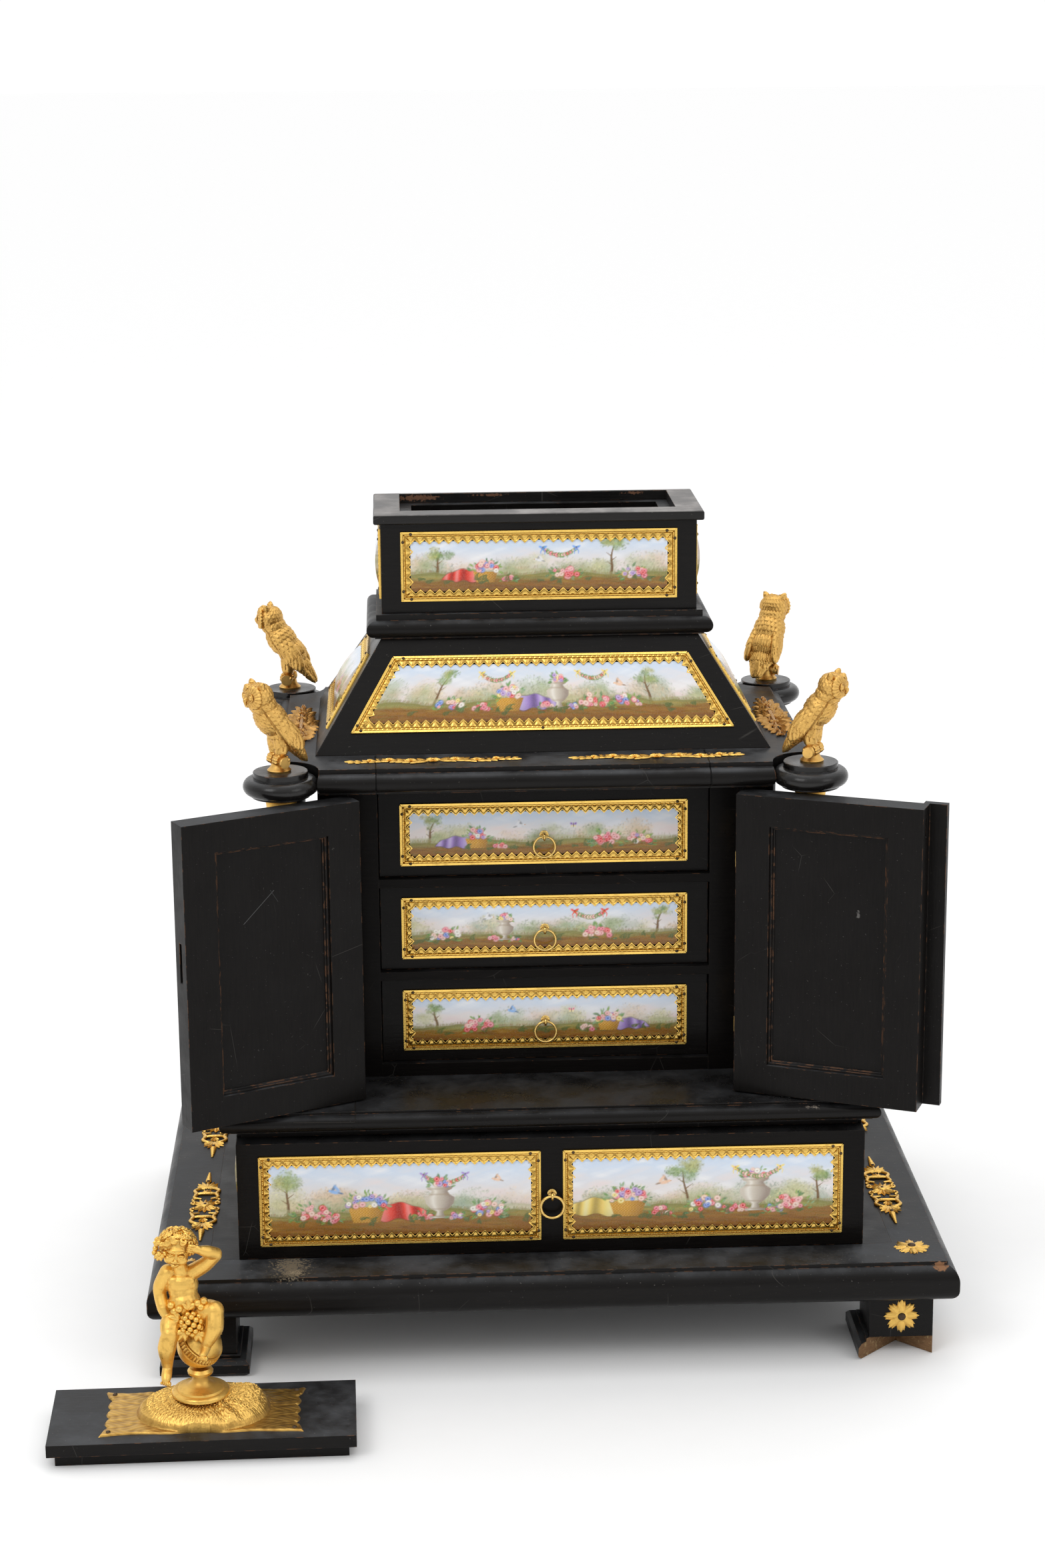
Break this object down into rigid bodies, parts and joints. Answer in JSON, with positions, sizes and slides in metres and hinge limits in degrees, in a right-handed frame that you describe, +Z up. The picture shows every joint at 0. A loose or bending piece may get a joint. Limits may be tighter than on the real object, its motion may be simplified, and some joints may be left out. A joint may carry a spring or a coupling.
{
  "type": "coin cabinet",
  "caption": "Ebonised table cabinet with panelled doors, small drawers, a wide base drawer, enamel plaques, gilt brass mounts and an open top box with its lid taken off.",
  "frame": {"origin": "on the floor under the centre of the cabinet, on the plane of the feet's undersides", "axes": "+Z up, +X to the viewer's right, the front with the doors faces -Y"},
  "size_m": [0.4425, 0.3793, 0.4112],
  "materials": {
    "ebonised_wood": "ebonised and waxed, satin, worn brown at the edges",
    "drawer_wood": "plain stained wood",
    "brass_strip": "pressed and gilt, bright",
    "ring_brass": "drawn wire, lightly tarnished",
    "gilt_bronze": "cast and gilt, matt with burnished high points",
    "enamel": "painted and fired enamel, glossy"
  },
  "bodies": {
    "cabinet": {"base_board": "ebonised_wood", "base_moulding": "ebonised_wood", "foot_blocks": "ebonised_wood", "foot_mouldings": "ebonised_wood", "rosettes": "gilt_bronze", "base_mounts": "gilt_bronze", "case_sides": "ebonised_wood", "case_back": "ebonised_wood", "sub_board": "ebonised_wood", "slab_board": "ebonised_wood", "carcass_sides": "ebonised_wood", "carcass_back": "ebonised_wood", "nest_frame": "ebonised_wood", "columns": "ebonised_wood", "column_mounts": "gilt_bronze", "cornice_board": "ebonised_wood", "cornice_ears": "ebonised_wood", "cornice_mounts": "gilt_bronze", "owls": "gilt_bronze", "roof_panels": "ebonised_wood", "box_plinth": "ebonised_wood", "box_walls": "ebonised_wood", "box_rim": "ebonised_wood", "cabinet_plaques": "enamel", "cabinet_plaque_strips": "brass_strip", "hinge_pins": "ring_brass"},
    "left_door": {"left_door_frame": "ebonised_wood", "left_door_panel": "ebonised_wood", "left_door_plaque": "enamel", "left_door_mounts": "brass_strip"},
    "right_door": {"right_door_frame": "ebonised_wood", "right_door_panel": "ebonised_wood", "right_door_plaque": "enamel", "right_door_mounts": "brass_strip", "right_door_astragal": "ebonised_wood"},
    "top_drawer": {"top_drawer_front": "ebonised_wood", "top_drawer_tray": "drawer_wood", "top_drawer_plaque": "enamel", "top_drawer_mounts": "brass_strip"},
    "top_ring": {"top_drawer_ring": "ring_brass"},
    "middle_drawer": {"middle_drawer_front": "ebonised_wood", "middle_drawer_tray": "drawer_wood", "middle_drawer_plaque": "enamel", "middle_drawer_mounts": "brass_strip"},
    "middle_ring": {"middle_drawer_ring": "ring_brass"},
    "bottom_drawer": {"bottom_drawer_front": "ebonised_wood", "bottom_drawer_tray": "drawer_wood", "bottom_drawer_plaque": "enamel", "bottom_drawer_mounts": "brass_strip"},
    "bottom_ring": {"bottom_drawer_ring": "ring_brass"},
    "base_drawer": {"base_drawer_front": "ebonised_wood", "base_drawer_tray": "drawer_wood", "base_drawer_plaques": "enamel", "base_drawer_mounts": "brass_strip"},
    "base_ring": {"base_drawer_ring": "ring_brass"},
    "lid": {"lid_board": "ebonised_wood", "lid_plug": "ebonised_wood", "lid_pelt": "gilt_bronze", "lid_pedestal": "gilt_bronze", "lid_putto": "gilt_bronze"}
  },
  "joints": [
    {"name": "left_door_hinge", "type": "hinge", "parent": "cabinet", "child": "left_door", "pos_m": [-0.0958, -0.086, 0.2055], "axis": [0, 0, -1], "range_deg": [-153.8, 3.7]},
    {"name": "right_door_hinge", "type": "hinge", "parent": "cabinet", "child": "right_door", "pos_m": [0.0958, -0.086, 0.2055], "axis": [0, 0, 1], "range_deg": [-157, 0.5]},
    {"name": "top_drawer_slide", "type": "slide", "parent": "cabinet", "child": "top_drawer", "axis": [0, -1, 0], "range_m": [0, 0.095]},
    {"name": "top_ring_swing", "type": "hinge", "parent": "top_drawer", "child": "top_ring", "pos_m": [0, -0.0656, 0.2534], "axis": [-1, 0, 0], "range_deg": [0, 95]},
    {"name": "middle_drawer_slide", "type": "slide", "parent": "cabinet", "child": "middle_drawer", "axis": [0, -1, 0], "range_m": [0, 0.095]},
    {"name": "middle_ring_swing", "type": "hinge", "parent": "middle_drawer", "child": "middle_ring", "pos_m": [0, -0.0656, 0.2047], "axis": [-1, 0, 0], "range_deg": [0, 95]},
    {"name": "bottom_drawer_slide", "type": "slide", "parent": "cabinet", "child": "bottom_drawer", "axis": [0, -1, 0], "range_m": [0, 0.095]},
    {"name": "bottom_ring_swing", "type": "hinge", "parent": "bottom_drawer", "child": "bottom_ring", "pos_m": [0, -0.0656, 0.156], "axis": [-1, 0, 0], "range_deg": [0, 95]},
    {"name": "base_drawer_slide", "type": "slide", "parent": "cabinet", "child": "base_drawer", "axis": [0, -1, 0], "range_m": [0, 0.15]},
    {"name": "base_ring_swing", "type": "hinge", "parent": "base_drawer", "child": "base_ring", "pos_m": [0, -0.1219, 0.0841], "axis": [-1, 0, 0], "range_deg": [0, 95]},
    {"name": "lid_lift", "type": "slide", "parent": "cabinet", "child": "lid", "axis": [0, 0, 1], "range_m": [0, 0.42]}
  ]
}
